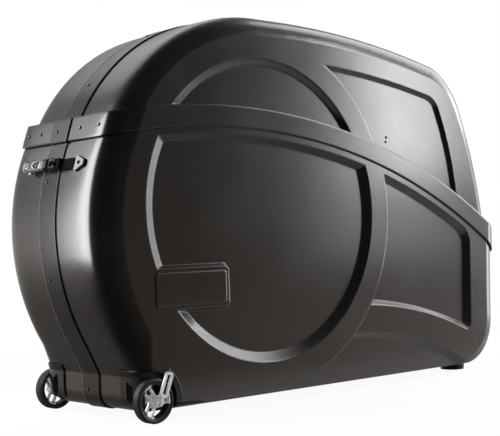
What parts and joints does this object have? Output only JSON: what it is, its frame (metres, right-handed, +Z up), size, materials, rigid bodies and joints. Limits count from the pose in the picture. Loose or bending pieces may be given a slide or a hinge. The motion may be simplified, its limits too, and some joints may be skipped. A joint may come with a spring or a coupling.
{
  "type": "bike travel case",
  "caption": "Hard black travel case for a bicycle: moulded halves with a round wheel bulge, lap band, seam strip and draw latches, on wheels at the nose and feet at the tail",
  "frame": {"origin": "on the ground under the middle of the case's box, on the parting plane between the halves", "axes": "+X along the case from the wheeled nose to the tail, +Y across it from the near half to the far half, +Z up"},
  "size_m": [1.3687, 0.4446, 0.916],
  "materials": {
    "shell_plastic": "satin black with a fine grain",
    "strip_plastic": "satin black",
    "rivet_black": "black lacquer",
    "badge_plastic": "plain gloss black",
    "latch_black": "black powder coat",
    "latch_grey": "satin grey metal",
    "steel": "turned steel",
    "bright_catch": "bright plated",
    "dial_plastic": "black plastic",
    "bracket_plastic": "moulded black",
    "bush_plastic": "natural nylon",
    "wheel_alloy": "cast silver",
    "wheel_tyre": "black rubber",
    "foot_rubber": "black rubber",
    "handle_plastic": "moulded black",
    "rail_alloy": "mill aluminium",
    "rest_rubber": "black rubber"
  },
  "bodies": {
    "near_half": {"near_lower_shell": "shell_plastic", "near_upper_shell": "shell_plastic", "near_band_rivets": "rivet_black", "badge_plate": "badge_plastic", "near_wheel_bracket": "bracket_plastic", "near_wheel_axle": "steel", "near_foot": "foot_rubber", "carrier_rail": "rail_alloy", "fork_mount": "rail_alloy", "front_catch_seat": "latch_black", "front_catch_plate": "bright_catch", "top_catch_seat": "latch_black", "top_catch_plate": "bright_catch", "rear_catch_seat": "latch_black", "rear_catch_plate": "bright_catch"},
    "far_half": {"far_lower_shell": "shell_plastic", "far_upper_shell": "shell_plastic", "far_band_rivets": "rivet_black", "upper_seam_strip": "strip_plastic", "lower_seam_strip": "strip_plastic", "band_seam_tabs": "strip_plastic", "seam_rivets": "rivet_black", "far_wheel_bracket": "bracket_plastic", "far_wheel_axle": "steel", "far_foot": "foot_rubber", "tow_handle_ears": "handle_plastic", "front_latch_base": "latch_black", "top_latch_base": "latch_black", "rear_latch_base": "latch_black"},
    "front_lever": {"front_latch_lever": "latch_grey", "front_latch_pin": "steel"},
    "front_link": {"front_latch_link": "latch_black"},
    "dial_1": {"dial_1": "dial_plastic"},
    "dial_2": {"dial_2": "dial_plastic"},
    "dial_3": {"dial_3": "dial_plastic"},
    "top_lever": {"top_latch_lever": "latch_grey", "top_latch_pin": "steel"},
    "top_link": {"top_latch_link": "latch_black"},
    "rear_lever": {"rear_latch_lever": "latch_grey", "rear_latch_pin": "steel"},
    "rear_link": {"rear_latch_link": "latch_black"},
    "near_wheel": {"near_wheel_bush": "bush_plastic", "near_wheel_rim": "wheel_alloy", "near_wheel_tyre": "wheel_tyre"},
    "near_release": {"near_release_lever": "wheel_alloy"},
    "far_wheel": {"far_wheel_bush": "bush_plastic", "far_wheel_rim": "wheel_alloy", "far_wheel_tyre": "wheel_tyre"},
    "far_release": {"far_release_lever": "wheel_alloy"},
    "tow_handle": {"tow_handle": "handle_plastic"},
    "fork_skewer": {"fork_skewer": "steel"},
    "frame_rest": {"frame_rest": "rest_rubber"}
  },
  "joints": [
    {"name": "far_half_off", "type": "slide", "parent": "near_half", "child": "far_half", "axis": [0, 1, 0], "range_m": [0, 0.4]},
    {"name": "front_lever_turn", "type": "hinge", "parent": "far_half", "child": "front_lever", "pos_m": [-0.67336, -0.02, 0.55332], "axis": [0.2823, 0, 0.9593], "range_deg": [0, 110]},
    {"name": "front_link_turn", "type": "hinge", "parent": "front_lever", "child": "front_link", "pos_m": [-0.67336, -0.008, 0.55332], "axis": [0.2823, 0, 0.9593], "range_deg": [-110, 0]},
    {"name": "dial_1_turn", "type": "hinge", "parent": "front_lever", "child": "dial_1", "pos_m": [-0.67528, 0.032, 0.55388], "axis": [0, 1, 0], "continuous": true},
    {"name": "dial_2_turn", "type": "hinge", "parent": "front_lever", "child": "dial_2", "pos_m": [-0.67528, 0.038, 0.55388], "axis": [0, 1, 0], "continuous": true},
    {"name": "dial_3_turn", "type": "hinge", "parent": "front_lever", "child": "dial_3", "pos_m": [-0.67528, 0.044, 0.55388], "axis": [0, 1, 0], "continuous": true},
    {"name": "top_lever_turn", "type": "hinge", "parent": "far_half", "child": "top_lever", "pos_m": [0.07264, -0.02, 0.90386], "axis": [0.997, 0, -0.0776], "range_deg": [0, 110]},
    {"name": "top_link_turn", "type": "hinge", "parent": "top_lever", "child": "top_link", "pos_m": [0.07264, -0.008, 0.90386], "axis": [0.997, 0, -0.0776], "range_deg": [-110, 0]},
    {"name": "rear_lever_turn", "type": "hinge", "parent": "far_half", "child": "rear_lever", "pos_m": [0.60939, -0.02, 0.60395], "axis": [0.2907, 0, -0.9568], "range_deg": [0, 110]},
    {"name": "rear_link_turn", "type": "hinge", "parent": "rear_lever", "child": "rear_link", "pos_m": [0.60939, -0.008, 0.60395], "axis": [0.2907, 0, -0.9568], "range_deg": [-110, 0]},
    {"name": "near_wheel_spin", "type": "hinge", "parent": "near_half", "child": "near_wheel", "pos_m": [-0.55641, -0.191, 0.047], "axis": [0, 1, 0], "continuous": true},
    {"name": "near_release_turn", "type": "hinge", "parent": "near_half", "child": "near_release", "pos_m": [-0.55641, -0.2103, 0.047], "axis": [0.9272, 0, -0.3746], "range_deg": [0, 100]},
    {"name": "far_wheel_spin", "type": "hinge", "parent": "far_half", "child": "far_wheel", "pos_m": [-0.55641, 0.191, 0.047], "axis": [0, 1, 0], "continuous": true},
    {"name": "far_release_turn", "type": "hinge", "parent": "far_half", "child": "far_release", "pos_m": [-0.55641, 0.2103, 0.047], "axis": [-0.9272, 0, 0.3746], "range_deg": [0, 100]},
    {"name": "tow_handle_swing", "type": "hinge", "parent": "far_half", "child": "tow_handle", "pos_m": [0.67221, 0.1, 0.235], "axis": [0, -1, 0], "range_deg": [0, 100]},
    {"name": "fork_skewer_turn", "type": "hinge", "parent": "near_half", "child": "fork_skewer", "pos_m": [-0.31641, -0.062, 0.1703], "axis": [0, 1, 0], "continuous": true},
    {"name": "frame_rest_slide", "type": "slide", "parent": "near_half", "child": "frame_rest", "axis": [1, 0, 0], "range_m": [-0.1, 0.25]}
  ],
  "couplings": [
    {"joint": "front_link_turn", "follows": "front_lever_turn", "ratio": -1},
    {"joint": "top_link_turn", "follows": "top_lever_turn", "ratio": -1},
    {"joint": "rear_link_turn", "follows": "rear_lever_turn", "ratio": -1}
  ]
}
